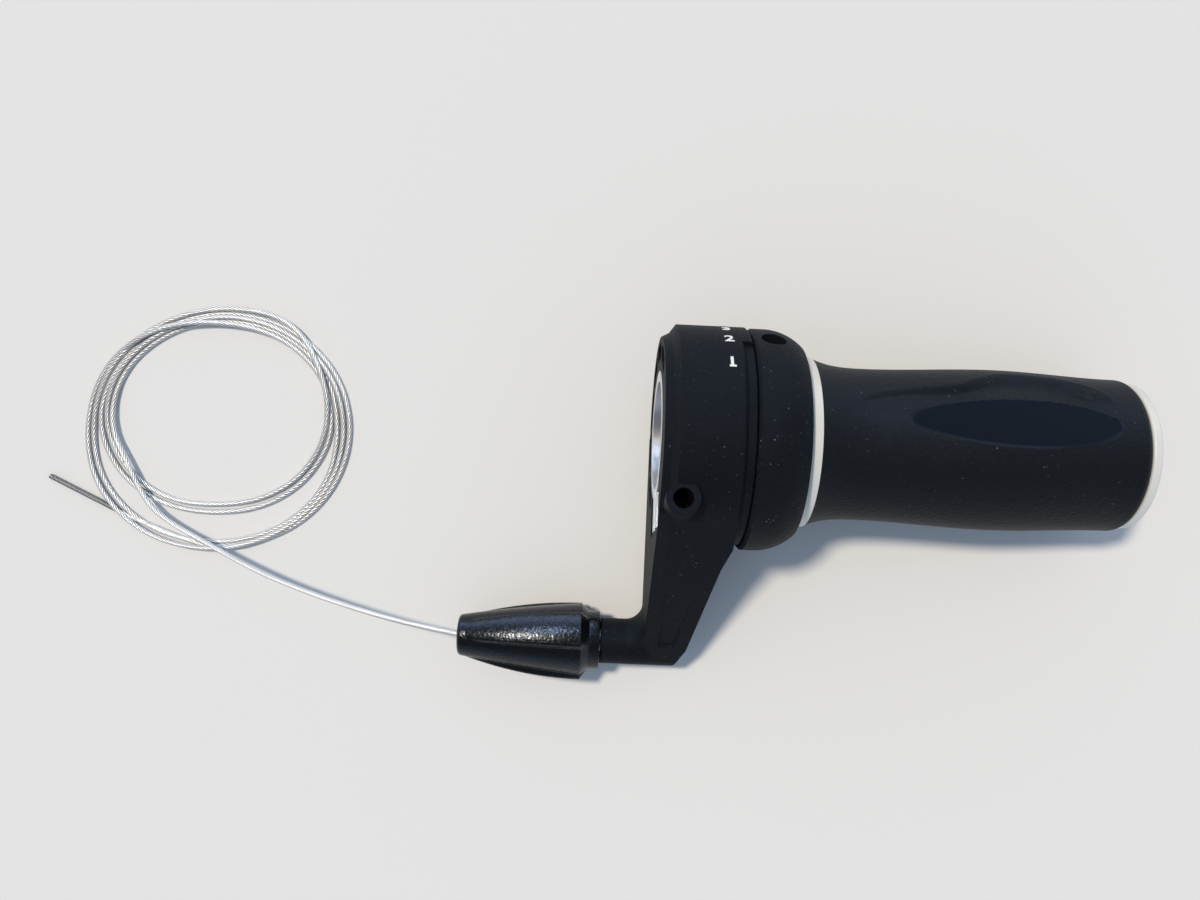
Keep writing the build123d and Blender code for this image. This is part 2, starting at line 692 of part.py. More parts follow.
with BuildPart() as grip_sleeve:
    with BuildSketch(around(0)):
        with BuildLine():
            contour = Spline(
                (SLEEVE_X, SLEEVE_LIP_R),
                (SLEEVE_X + SLEEVE_NECK_X, SLEEVE_NECK_R),
                (SLEEVE_X + SLEEVE_SWELL_X, SLEEVE_SWELL_R),
                (SLEEVE_END - SLEEVE_CORNER, SLEEVE_END_R),
                tangents=[(1, SLEEVE_LIP_SLOPE), (1, 0)],
            )
            corner = JernArc(contour @ 1, (1, 0), SLEEVE_CORNER, -90)
            Polyline(
                corner @ 1,
                (SLEEVE_END, TUBE_R + SEAT_FIT),
                (SLEEVE_X, TUBE_R + SEAT_FIT),
                contour @ 0,
            )
        make_face()
    revolve(axis=BAR_AXIS)
    # oval pad on a flat scoop, above the fingers
    with BuildSketch(pad_plane(SLEEVE_SWELL_R - SCOOP_SINK)):
        Rectangle(SLEEVE_LONG, 2 * SLEEVE_SWELL_R)
        Ellipse(PAD_LONG / 2, PAD_WIDE / 2, mode=Mode.SUBTRACT)
    extrude(amount=SLEEVE_SWELL_R, mode=Mode.SUBTRACT)
    with BuildSketch(pad_plane(SLEEVE_SWELL_R - PAD_SINK)):
        Rectangle(SLEEVE_LONG, 2 * SLEEVE_SWELL_R)
    extrude(amount=SLEEVE_SWELL_R, mode=Mode.SUBTRACT)
    add(thumb_scoop.part, mode=Mode.SUBTRACT)
grip_sleeve.part.label = "grip_sleeve"

with BuildPart() as end_ring:
    with BuildSketch(around(0)):
        with Locations((SLEEVE_END + END_RING_WIDE / 2, (TUBE_R + SEAT_FIT + END_RING_R) / 2)):
            Rectangle(END_RING_WIDE, END_RING_R - TUBE_R - SEAT_FIT)
    revolve(axis=BAR_AXIS)
    fillet(edges().filter_by(GeomType.CIRCLE).sort_by(SortBy.RADIUS)[-2:], RING_EDGE)
end_ring.part.label = "end_ring"

SHOULDER_X = BARREL_X - BARREL_COLLAR_LONG - BARREL_CHAMFER_LONG
PETAL_X = TIP_X + PETAL_FROM
with BuildPart() as adjuster_barrel:
    # round body under the petals
    with BuildSketch(around(0, -STUB_OFFSET, -STUB_DROP)):
        with BuildLine():
            ogive = ThreePointArc(
                (TIP_X, BARREL_TIP_R),
                ((TIP_X + SHOULDER_X) / 2, (BARREL_TIP_R + BARREL_BODY_R) / 2 + BODY_BULGE),
                (SHOULDER_X, BARREL_BODY_R),
            )
            Polyline(
                ogive @ 1,
                (BARREL_X - BARREL_COLLAR_LONG, BARREL_COLLAR_R),
                (BARREL_X, BARREL_COLLAR_R),
                (BARREL_X, RECESS_R),
                (BARREL_X - RECESS_DEEP, RECESS_R),
                (BARREL_X - RECESS_DEEP, STEM_R + SEAT_FIT),
                (STEM_END - STEM_LONG, STEM_R + SEAT_FIT),
                (STEM_END - STEM_LONG, STEM_BORE),
                (TIP_X + CASING_DEEP, STEM_BORE),
                (TIP_X + CASING_DEEP, CASING_R),
                (TIP_X, CASING_R),
                ogive @ 0,
            )
        make_face()
    revolve(axis=BARREL_AXIS)
    # raised petals that grow towards the wide end
    for i in range(PETALS):
        start = PETAL_ANGLE + PETAL_ARC / 2 + i * 360 / PETALS
        with BuildSketch(around(start, -STUB_OFFSET, -STUB_DROP)):
            with BuildLine():
                crest = ThreePointArc(
                    (PETAL_X, BARREL_TIP_R),
                    ((PETAL_X + SHOULDER_X) / 2, (BARREL_TIP_R + PETAL_R) / 2 + PETAL_BULGE),
                    (SHOULDER_X, PETAL_R),
                )
                Polyline(
                    crest @ 1,
                    (BARREL_X - BARREL_COLLAR_LONG, BARREL_COLLAR_R),
                    (BARREL_X - BARREL_COLLAR_LONG, RECESS_R + EDGE),
                    (SHOULDER_X, RECESS_R + EDGE),
                    (PETAL_X, BARREL_TIP_R - EDGE),
                    crest @ 0,
                )
            make_face()
        revolve(axis=BARREL_AXIS, revolution_arc=PETAL_ARC)
adjuster_barrel.part.label = "adjuster_barrel"

with BuildPart() as adjuster_screw:
    with BuildSketch(section(STEM_END, -STUB_OFFSET, -STUB_DROP)):
        Circle(STEM_R)
        Circle(STEM_BORE, mode=Mode.SUBTRACT)
    extrude(amount=-STEM_LONG)
adjuster_screw.part.label = "adjuster_screw"

with BuildPart() as adjuster_collar:
    with BuildSketch(section(BARREL_X - RECESS_DEEP + SEAT_FIT, -STUB_OFFSET, -STUB_DROP)):
        Circle(RECESS_R - RUN_FIT)
        Circle(STEM_R + RUN_FIT, mode=Mode.SUBTRACT)
    extrude(amount=DETENT_T)
adjuster_collar.part.label = "adjuster_collar"

SPRING_FROM = BARREL_X - RECESS_DEEP + SEAT_FIT + DETENT_T + SPRING_WIRE / 2 + RUN_FIT
SPRING_TO = -STUB_LONG - SPRING_WIRE / 2 - RUN_FIT
with BuildPart() as adjuster_spring:
    with BuildLine() as turns:
        Helix(
            (SPRING_TO - SPRING_FROM) / SPRING_TURNS,
            SPRING_TO - SPRING_FROM,
            SPRING_R,
            center=at(SPRING_FROM, -STUB_OFFSET, -STUB_DROP),
            direction=ALONG,
        )
    with BuildSketch(Plane(turns.line @ 0, z_dir=turns.line % 0)):
        Circle(SPRING_WIRE / 2)
    sweep(path=turns.line, is_frenet=True)
adjuster_spring.part.label = "adjuster_spring"

# Free wire on the table
lead_points = [at(TIP_X, -STUB_OFFSET, -STUB_DROP)]
lead_points += [Vector(x, y, TABLE + z) for x, y, z in LEAD_POINTS]
tail_points = [Vector(x, y, TABLE + WIRE_D / 2) for x, y in TAIL_POINTS]


def bend_radii(points):
    """The largest radius that each corner of a route leaves room for."""
    radii = []
    for a, b, c in zip(points, points[1:], points[2:]):
        turn = (b - a).get_angle(c - b)
        radii.append(BEND_SHARE * min((b - a).length, (c - b).length) / tan(radians(turn / 2)))
    return radii


with BuildPart() as cable_lead:
    lead_radii = bend_radii(lead_points)
    with BuildLine() as lead:
        FilletPolyline(*lead_points, radius=lead_radii)
    with BuildSketch(Plane(lead.line @ 0, z_dir=lead.line % 0)):
        Circle(WIRE_D / 2)
    sweep(path=lead.line)
cable_lead.part.label = "cable_lead"

with BuildPart() as cable_coil:
    with BuildSketch(Plane.XY.offset(TABLE)):
        with Locations((COIL_X, COIL_Y)):
            Ellipse(COIL_HALF_X, COIL_HALF_Y)
        with Locations((COIL_EYE_X, COIL_EYE_Y)):
            Ellipse(COIL_EYE_HALF_X, COIL_EYE_HALF_Y, mode=Mode.SUBTRACT)
    extrude(amount=COIL_HIGH)
cable_coil.part.label = "cable_coil"

with BuildPart() as cable_tail:
    tail_radii = bend_radii(tail_points)
    with BuildLine() as tail:
        FilletPolyline(*tail_points, radius=tail_radii)
    with BuildSketch(Plane(tail.line @ 0, z_dir=tail.line % 0)):
        Circle(WIRE_D / 2)
    sweep(path=tail.line)
cable_tail.part.label = "cable_tail"

os.makedirs("parts", exist_ok=True)
PIECES = [
    housing, clamp_band, clamp_screw, clamp_nut, thrust_washer, detent_spring, cable_liner, cable_run,
    drum, cable_head, cable_wrap, spool_cover, collar_ring, grip_sleeve, end_ring,
    adjuster_barrel, adjuster_screw, adjuster_collar, adjuster_spring,
    cable_lead, cable_coil, cable_tail,
]
for piece in PIECES:
    export_step(piece.part, "parts/" + piece.part.label + ".step")

print("tilt of the bar", round(degrees(TILT), 3), "table", round(TABLE, 3))
print("bend radii of the lead", [round(r, 1) for r in lead_radii])
print("bend radii of the tail", [round(r, 1) for r in tail_radii])
for name, tube, path in (("lead", cable_lead, lead), ("tail", cable_tail, tail)):
    straight = path.wires()[0].length * pi * WIRE_D**2 / 4
    print(name, "volume against section times length", round(tube.part.volume / straight, 4))
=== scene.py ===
from math import cos, hypot, pi, radians, sin

import bmesh
import bpy
from mathutils import Matrix, Vector


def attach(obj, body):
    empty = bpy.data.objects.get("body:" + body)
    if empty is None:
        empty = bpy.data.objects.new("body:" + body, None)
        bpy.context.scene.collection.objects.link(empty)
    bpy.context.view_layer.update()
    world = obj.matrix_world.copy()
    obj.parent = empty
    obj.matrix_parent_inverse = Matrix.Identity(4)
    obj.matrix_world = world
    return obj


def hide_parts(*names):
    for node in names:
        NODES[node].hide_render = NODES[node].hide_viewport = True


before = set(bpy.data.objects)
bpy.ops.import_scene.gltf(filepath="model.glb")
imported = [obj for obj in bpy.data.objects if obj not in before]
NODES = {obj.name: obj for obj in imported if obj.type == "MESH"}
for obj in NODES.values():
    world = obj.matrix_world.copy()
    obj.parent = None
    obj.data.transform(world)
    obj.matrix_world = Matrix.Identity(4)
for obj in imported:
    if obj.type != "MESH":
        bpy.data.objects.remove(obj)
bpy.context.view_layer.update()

MM = 0.001
SCENE = bpy.context.scene

# The bar axis as the shifter lies: it slopes down to the outer end. Lengths are in mm.
TILT = radians(5.574)
TABLE = -24.735
ALONG = Vector((cos(TILT), 0, -sin(TILT)))
ACROSS = Vector((0, 1, 0))
UP = Vector((sin(TILT), 0, cos(TILT)))


def round_bar(x, r, angle):
    """The point at x along the bar and r from its axis. The angle is 0 on top and grows to +Y."""
    out = UP * cos(radians(angle)) + ACROSS * sin(radians(angle))
    return (ALONG * x + out * r) * MM


def linear(code):
    """The scene's linear colour for an sRGB hex code."""
    parts = [int(code[i:i + 2], 16) / 255 for i in (1, 3, 5)]
    return tuple(c / 12.92 if c <= 0.04045 else ((c + 0.055) / 1.055) ** 2.4 for c in parts) + (1.0,)


def put(tree, kind, sockets=None, **settings):
    """Adds a node with its settings, and gives its sockets a value or a link each."""
    node = tree.nodes.new(kind)
    for name, value in settings.items():
        setattr(node, name, value)
    for name, value in (sockets or {}).items():
        if isinstance(value, bpy.types.NodeSocket):
            tree.links.new(value, node.inputs[name])
        else:
            node.inputs[name].default_value = value
    return node


def plain_mesh(obj):
    """The mesh of an object as its curve or modifiers make it."""
    bpy.context.view_layer.update()
    return bpy.data.meshes.new_from_object(obj.evaluated_get(bpy.context.evaluated_depsgraph_get()))


def piece(name, mesh, material, body):
    """A finished piece at the origin, with its material, that rides on a body."""
    obj = bpy.data.objects.new(name, mesh)
    SCENE.collection.objects.link(obj)
    mesh.materials.clear()
    mesh.materials.append(material)
    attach(obj, body)
    return obj


# Camera

# As fitted to the photograph. The lean is the axis of a turn, as long as the turn's angle.
LENS = 30.124
SENSOR = 36
CAMERA_AT = (0.005163, -0.002320, 0.208017)
CAMERA_LEAN = Vector((-0.003976, 0.080579, 0.044434))
camera = bpy.data.objects.new("camera", bpy.data.cameras.new("camera"))
SCENE.collection.objects.link(camera)
SCENE.camera = camera
camera.data.sensor_width = SENSOR
camera.data.lens = LENS
camera.data.clip_start = 0.01
camera.location = CAMERA_AT
camera.rotation_euler = Matrix.Rotation(CAMERA_LEAN.length, 3, CAMERA_LEAN).to_euler()

# Materials

# Dust on the black pieces: its colour and size. It is drawn coarser than real dust, so that it shows.
DUST, DUST_MM = "#8b95a3", 0.55
# Black plastic and rubber mirror the room a little bluer than it is
COOL = linear("#bfd8ff")
# Moulded edges look rounded by this much
EDGE_MM = 0.35
# Tool rings on turned metal: their distance along the bar, and how long they are drawn out across it
RING_MM, RING_LONG_MM = 0.25, 1000 / 60


def finish(name, build, **shader):
    """A material: build adds the patterns and returns the sockets that they feed."""
    material = bpy.data.materials.new(name)
    material.use_nodes = True
    tree = material.node_tree
    tree.nodes.clear()
    surface = put(tree, "ShaderNodeBsdfPrincipled", {**shader, **build(tree)})
    put(tree, "ShaderNodeOutputMaterial", {"Surface": surface.outputs["BSDF"]})
    return material


def moulded_skin(tree, black, sheen, rough, grain, height, speck):
    """Black moulded plastic: grain that the spark-eroded tool left, and dust that catches light.
    The grain's width and height are in mm."""
    place = put(tree, "ShaderNodeTexCoord").outputs["Object"]
    pebbles = put(tree, "ShaderNodeTexVoronoi", {"Vector": place, "Scale": 1 / (grain * MM)},
                  feature="SMOOTH_F1")
    cloud = put(tree, "ShaderNodeTexNoise", {"Vector": place, "Scale": 1 / (14 * MM), "Detail": 3.0})
    dust = put(tree, "ShaderNodeTexNoise", {"Vector": place, "Scale": 1 / (DUST_MM * MM), "Detail": 1.0})
    specks = put(tree, "ShaderNodeMapRange", {
        "Value": dust.outputs["Fac"], "From Min": 0.73, "From Max": 0.82, "To Max": speck})
    tone = put(tree, "ShaderNodeMix", {
        "Factor": cloud.outputs["Fac"], "A": linear(black), "B": linear(sheen)}, data_type="RGBA")
    colour = put(tree, "ShaderNodeMix", {
        "Factor": specks.outputs["Result"], "A": tone.outputs["Result"], "B": linear(DUST)},
        data_type="RGBA")
    gloss = put(tree, "ShaderNodeMapRange", {
        "Value": pebbles.outputs["Distance"], "From Max": 0.7,
        "To Min": rough - 0.08, "To Max": rough + 0.08})
    edge = put(tree, "ShaderNodeBevel", {"Radius": EDGE_MM * MM}, samples=4)
    relief = put(tree, "ShaderNodeBump", {
        "Height": pebbles.outputs["Distance"], "Distance": height * MM, "Strength": 0.6,
        "Normal": edge.outputs["Normal"]})
    return {"Base Color": colour.outputs["Result"], "Roughness": gloss.outputs["Result"],
            "Normal": relief.outputs["Normal"]}


# Glass-filled nylon from a finely grained tool: nearly black, with a satin sheen towards the light.
housing_nylon = finish(
    "housing_nylon",
    lambda t: moulded_skin(t, "#131416", "#15181c", rough=0.56, grain=0.40, height=0.035, speck=0.3),
    **{"Specular IOR Level": 0.09, "Specular Tint": COOL})
# The same nylon from a rougher tool: the specks of its grain show one by one.
cover_nylon = finish(
    "cover_nylon",
    lambda t: moulded_skin(t, "#131416", "#15181c", rough=0.58, grain=0.45, height=0.070, speck=0.6),
    **{"Specular IOR Level": 0.11, "Specular Tint": COOL})
# Acetal, glossy over a coarse grain: the highlight breaks up into grains.
barrel_acetal = finish(
    "barrel_acetal",
    lambda t: moulded_skin(t, "#0d0e0f", "#101113", rough=0.22, grain=0.55, height=0.080, speck=0.2),
    **{"Specular IOR Level": 0.36, "Specular Tint": linear("#dfeaff")})


def rubber_skin(tree):
    """Thermoplastic rubber: fine leather grain with creases and dust, and a smooth, bare oval pad whose
    darker black is partly painted shade.
    """
    place = put(tree, "ShaderNodeTexCoord").outputs["Object"]
    pad = put(tree, "ShaderNodeAttribute", attribute_name="pad").outputs["Fac"]
    off_pad = put(tree, "ShaderNodeMath", {0: 1.0, 1: pad}, operation="SUBTRACT").outputs["Value"]
    pebbles = put(tree, "ShaderNodeTexVoronoi", {"Vector": place, "Scale": 1 / (0.45 * MM)},
                  feature="SMOOTH_F1")
    folds = put(tree, "ShaderNodeTexNoise", {
        "Vector": place, "Scale": 1 / (1.6 * MM), "Detail": 4.0, "Distortion": 1.2})
    leather = put(tree, "ShaderNodeMath", {
        0: folds.outputs["Fac"], 1: 2.0, 2: pebbles.outputs["Distance"]}, operation="MULTIPLY_ADD")
    dust = put(tree, "ShaderNodeTexNoise", {"Vector": place, "Scale": 1 / (DUST_MM * MM), "Detail": 1.0})
    specks = put(tree, "ShaderNodeMapRange", {
        "Value": dust.outputs["Fac"], "From Min": 0.75, "From Max": 0.84, "To Max": 0.45})
    showing = put(tree, "ShaderNodeMath", {
        0: specks.outputs["Result"], 1: off_pad}, operation="MULTIPLY")
    # The pad's black is darker: partly the bare, smooth rubber, partly painted shade where the flat pad
    # faces the dark overhead.
    black = put(tree, "ShaderNodeMix", {
        "Factor": pad, "A": linear("#161719"), "B": linear("#060607")}, data_type="RGBA")
    colour = put(tree, "ShaderNodeMix", {
        "Factor": showing.outputs["Value"], "A": black.outputs["Result"], "B": linear(DUST)},
        data_type="RGBA")
    relief = put(tree, "ShaderNodeBump", {
        "Height": leather.outputs["Value"], "Distance": 0.08 * MM, "Strength": off_pad})
    gloss = put(tree, "ShaderNodeMapRange", {"Value": pad, "To Min": 0.52, "To Max": 0.36})
    return {"Base Color": colour.outputs["Result"], "Roughness": gloss.outputs["Result"],
            "Normal": relief.outputs["Normal"]}


# Thermoplastic rubber: dull black with a soft bluish sheen.
sleeve_rubber = finish(
    "sleeve_rubber", rubber_skin, **{"Specular IOR Level": 0.15, "Specular Tint": COOL})


def white_skin(tree, pale, shade):
    """White moulded plastic: faint clouds of dirt and a slight ripple."""
    place = put(tree, "ShaderNodeTexCoord").outputs["Object"]
    cloud = put(tree, "ShaderNodeTexNoise", {"Vector": place, "Scale": 1 / (5 * MM), "Detail": 4.0})
    colour = put(tree, "ShaderNodeMix", {
        "Factor": cloud.outputs["Fac"], "A": linear(pale), "B": linear(shade)}, data_type="RGBA")
    relief = put(tree, "ShaderNodeBump", {
        "Height": cloud.outputs["Fac"], "Distance": 0.05 * MM, "Strength": 0.3})
    return {"Base Color": colour.outputs["Result"], "Normal": relief.outputs["Normal"]}


# Acetal in its natural white: clean, slightly waxy.
white_acetal = finish(
    "white_acetal", lambda t: white_skin(t, "#e0e0dd", "#d8d8d3"), Roughness=0.40,
    **{"Subsurface Weight": 0.05, "Subsurface Scale": 0.5 * MM})
# Natural nylon of the small inner pieces: cream white.
natural_nylon = finish(
    "natural_nylon", lambda t: white_skin(t, "#e2e1da", "#d4d2c8"), Roughness=0.45)


def turned_skin(tree, pale, shade):
    """Turned metal: rings that the tool left round the bar axis."""
    place = put(tree, "ShaderNodeTexCoord").outputs["Object"]
    turned = put(tree, "ShaderNodeMapping", {"Vector": place, "Rotation": (0, -TILT, 0)})
    drawn_out = put(tree, "ShaderNodeVectorMath", {
        0: turned.outputs["Vector"],
        1: [1 / (size * MM) for size in (RING_MM, RING_LONG_MM, RING_LONG_MM)]}, operation="MULTIPLY")
    rings = put(tree, "ShaderNodeTexNoise", {
        "Vector": drawn_out.outputs["Vector"], "Scale": 1.0, "Detail": 2.0})
    blotch = put(tree, "ShaderNodeTexNoise", {"Vector": place, "Scale": 1 / (3 * MM), "Detail": 3.0})
    colour = put(tree, "ShaderNodeMix", {
        "Factor": blotch.outputs["Fac"], "A": linear(pale), "B": linear(shade)}, data_type="RGBA")
    gloss = put(tree, "ShaderNodeMapRange", {
        "Value": blotch.outputs["Fac"], "To Min": 0.22, "To Max": 0.42})
    relief = put(tree, "ShaderNodeBump", {
        "Height": rings.outputs["Fac"], "Distance": 0.03 * MM, "Strength": 0.4})
    return {"Base Color": colour.outputs["Result"], "Roughness": gloss.outputs["Result"],
            "Normal": relief.outputs["Normal"]}


# Aluminium as it came off the lathe: bright, with fine rings.
turned_aluminium = finish(
    "turned_aluminium", lambda t: turned_skin(t, "#e6e7ea", "#c9ccd2"), Metallic=1.0)
# Zinc-plated steel: a little darker and bluer, slightly blotchy.
zinc_steel = finish("zinc_steel", lambda t: turned_skin(t, "#c3c7cd", "#a1a7b0"), Metallic=1.0)
# Blackened steel of the socket screw: dark and half glossy.
black_steel = finish("black_steel", lambda t: turned_skin(t, "#3a3c40", "#26282b"), Metallic=1.0)
# Spring steel wire: grey, drawn.
drawn_spring = finish("drawn_spring", lambda t: turned_skin(t, "#a9acb1", "#84888f"), Metallic=1.0)


def strand_skin(tree):
    """Galvanised strands: bright wires, painted shade in the grooves between them, a dull dipped end."""
    groove = put(tree, "ShaderNodeAttribute", attribute_name="groove").outputs["Fac"]
    dipped = put(tree, "ShaderNodeAttribute", attribute_name="dipped").outputs["Fac"]
    place = put(tree, "ShaderNodeTexCoord").outputs["Object"]
    cloud = put(tree, "ShaderNodeTexNoise", {"Vector": place, "Scale": 1 / (4 * MM), "Detail": 2.0})
    shade = put(tree, "ShaderNodeMix", {
        "Factor": cloud.outputs["Fac"], "A": linear("#f2f2f1"), "B": linear("#dcdde0")},
        data_type="RGBA")
    # The grooves between the strands are darkened: painted shade.
    strands = put(tree, "ShaderNodeMix", {
        "Factor": groove, "A": shade.outputs["Result"], "B": linear("#1d2023")}, data_type="RGBA")
    colour = put(tree, "ShaderNodeMix", {
        "Factor": dipped, "A": strands.outputs["Result"], "B": linear("#6f7072")}, data_type="RGBA")
    gloss = put(tree, "ShaderNodeMapRange", {"Value": groove, "To Min": 0.32, "To Max": 0.60})
    return {"Base Color": colour.outputs["Result"], "Roughness": gloss.outputs["Result"]}


# Galvanised steel wire, 1.2 mm: bright grey strands that sparkle as they turn.
shift_wire = finish("shift_wire", strand_skin, Metallic=0.45)


def print_skin(tree):
    """Pad-printed ink: opaque white with worn specks."""
    place = put(tree, "ShaderNodeTexCoord").outputs["Object"]
    wear = put(tree, "ShaderNodeTexNoise", {"Vector": place, "Scale": 1 / (0.3 * MM), "Detail": 3.0})
    worn = put(tree, "ShaderNodeMapRange", {
        "Value": wear.outputs["Fac"], "From Min": 0.62, "From Max": 0.78, "To Max": 0.5})
    colour = put(tree, "ShaderNodeMix", {
        "Factor": worn.outputs["Result"], "A": linear("#eff0f0"), "B": linear("#9a9ea4")},
        data_type="RGBA")
    return {"Base Color": colour.outputs["Result"]}


# White pad-printing ink: matte, slightly worn.
number_ink = finish("number_ink", print_skin, Roughness=0.55)

CAD_FINISH = {
    housing_nylon: ["housing"],
    cover_nylon: ["spool_cover"],
    white_acetal: ["drum", "collar_ring", "end_ring"],
    natural_nylon: ["thrust_washer", "cable_liner", "adjuster_collar"],
    turned_aluminium: ["clamp_band", "adjuster_screw"],
    zinc_steel: ["clamp_nut", "cable_head"],
    black_steel: ["clamp_screw"],
    drawn_spring: ["detent_spring", "adjuster_spring"],
    shift_wire: ["cable_run", "cable_wrap"],
}
for material, names in CAD_FINISH.items():
    for name in names:
        NODES[name].data.materials.clear()
        NODES[name].data.materials.append(material)

# Shift wire

WIRE_D = 1.2
# Strands, fewer and coarser than the real ones so that they show, and the points of each one's outline;
# depth of the grooves, as a share of the radius; length of one twist; length of the dipped end
STRANDS, LOBE_POINTS, GROOVE, LAY, DIPPED = 7, 4.0, 0.30, 9, 20
WIRE_STEP = 0.5
WIRE_EXIT = ALONG * -41.1 - ACROSS * 46.2 - UP * 17.3
# The lead leaves the adjuster and comes down on the coil: x, y and height above the table
LEAD = [
    (-52.5, -44.8, 11.7), (-66.7, -41.9, 11.0), (-81.5, -38.2, 9.2), (-93.2, -34.5, 7.2),
    (-105.7, -29.3, 4.8), (-114.2, -25.6, 3.7), (-119.4, -22.4, 3.3), (-122.7, -18.4, 3.0),
    (-126.0, -12.8, 2.6),
]
# The coil's five loose turns, clockwise from the left, twelve points each and ten in the last:
# how far each point lies inside the largest turn, and its height above the table
COIL_X, COIL_Y = -105.0, -2.5
COIL_LONG, COIL_WIDE = 32.0, 28.0
TURNS = [
    ([5.7, 3.9, 3.2, 2.3, 2.0, 2.2, 3.5, 2.2, 1.4, 1.0, -0.2, -0.4],
     [1.4, 0.6, 0.6, 0.6, 0.6, 0.6, 0.6, 0.6, 0.6, 0.6, 0.6, 0.6]),
    ([0.8, 0.8, 0.4, -0.4, -1.8, 2.9, 6.0, 8.4, 9.6, 10.1, 8.2, 6.4],
     [0.6, 1.4, 1.4, 1.4, 1.5, 2.4, 1.4, 0.6, 0.6, 0.6, 0.6, 0.6]),
    ([3.9, 2.8, 2.3, 1.4, 1.1, 1.1, 1.8, 1.2, 0.5, -0.6, -1.8, -2.1],
     [0.6, 1.4, 1.4, 1.4, 1.3, 1.2, 0.6, 0.7, 1.4, 1.7, 1.2, 0.8]),
    ([-0.7, -0.4, 1.5, 3.2, 3.0, 3.3, 4.8, 6.8, 7.8, 8.2, 6.6, 4.4],
     [0.6, 1.0, 2.8, 2.0, 1.0, 0.8, 0.6, 0.6, 0.6, 0.6, 0.6, 0.6]),
    ([2.2, 1.8, 1.4, 0.5, 0.1, 0.0, 0.2, 0.2, 0.0, 0.2],
     [0.6, 0.6, 0.6, 0.6, 0.6, 0.6, 0.6, 0.6, 0.6, 0.6]),
]
# The bare end lies on the table, under the outer turns
TAIL = [(-112.0, -29.6, 0.6), (-118.0, -27.6, 0.6), (-125.0, -25.3, 0.6), (-133.7, -21.6, 0.6),
        (-146.9, -15.9, 0.6)]
# The coil's points are this many degrees apart. The spline runs inside them, so they stand out a little.
POINT_STEP, OUTSIDE = 30, 1.035

route = [WIRE_EXIT * MM] + [Vector((x, y, TABLE + z)) * MM for x, y, z in LEAD]
for insides, heights in TURNS:
    for i, (inside, height) in enumerate(zip(insides, heights)):
        turn = radians(180 - POINT_STEP * i)
        route.append(Vector((
            COIL_X + (COIL_LONG - inside) * OUTSIDE * cos(turn),
            COIL_Y + (COIL_WIDE - inside) * OUTSIDE * sin(turn),
            TABLE + height)) * MM)
route += [Vector((x, y, TABLE + z)) * MM for x, y, z in TAIL]

wire_line = bpy.data.curves.new("wire_line", "CURVE")
wire_line.dimensions = "3D"
wire_line.resolution_u = 24
spline = wire_line.splines.new("NURBS")
spline.points.add(len(route) - 1)
for point, spot in zip(spline.points, route):
    point.co = (*spot, 1.0)
spline.order_u = 3
spline.use_endpoint_u = True
wire_guide = bpy.data.objects.new("wire_guide", wire_line)
SCENE.collection.objects.link(wire_guide)
line_mesh = plain_mesh(wire_guide)
wire_path = [v.co.copy() for v in line_mesh.vertices]
wire_length = sum((b - a).length for a, b in zip(wire_path, wire_path[1:]))
bpy.data.objects.remove(wire_guide)


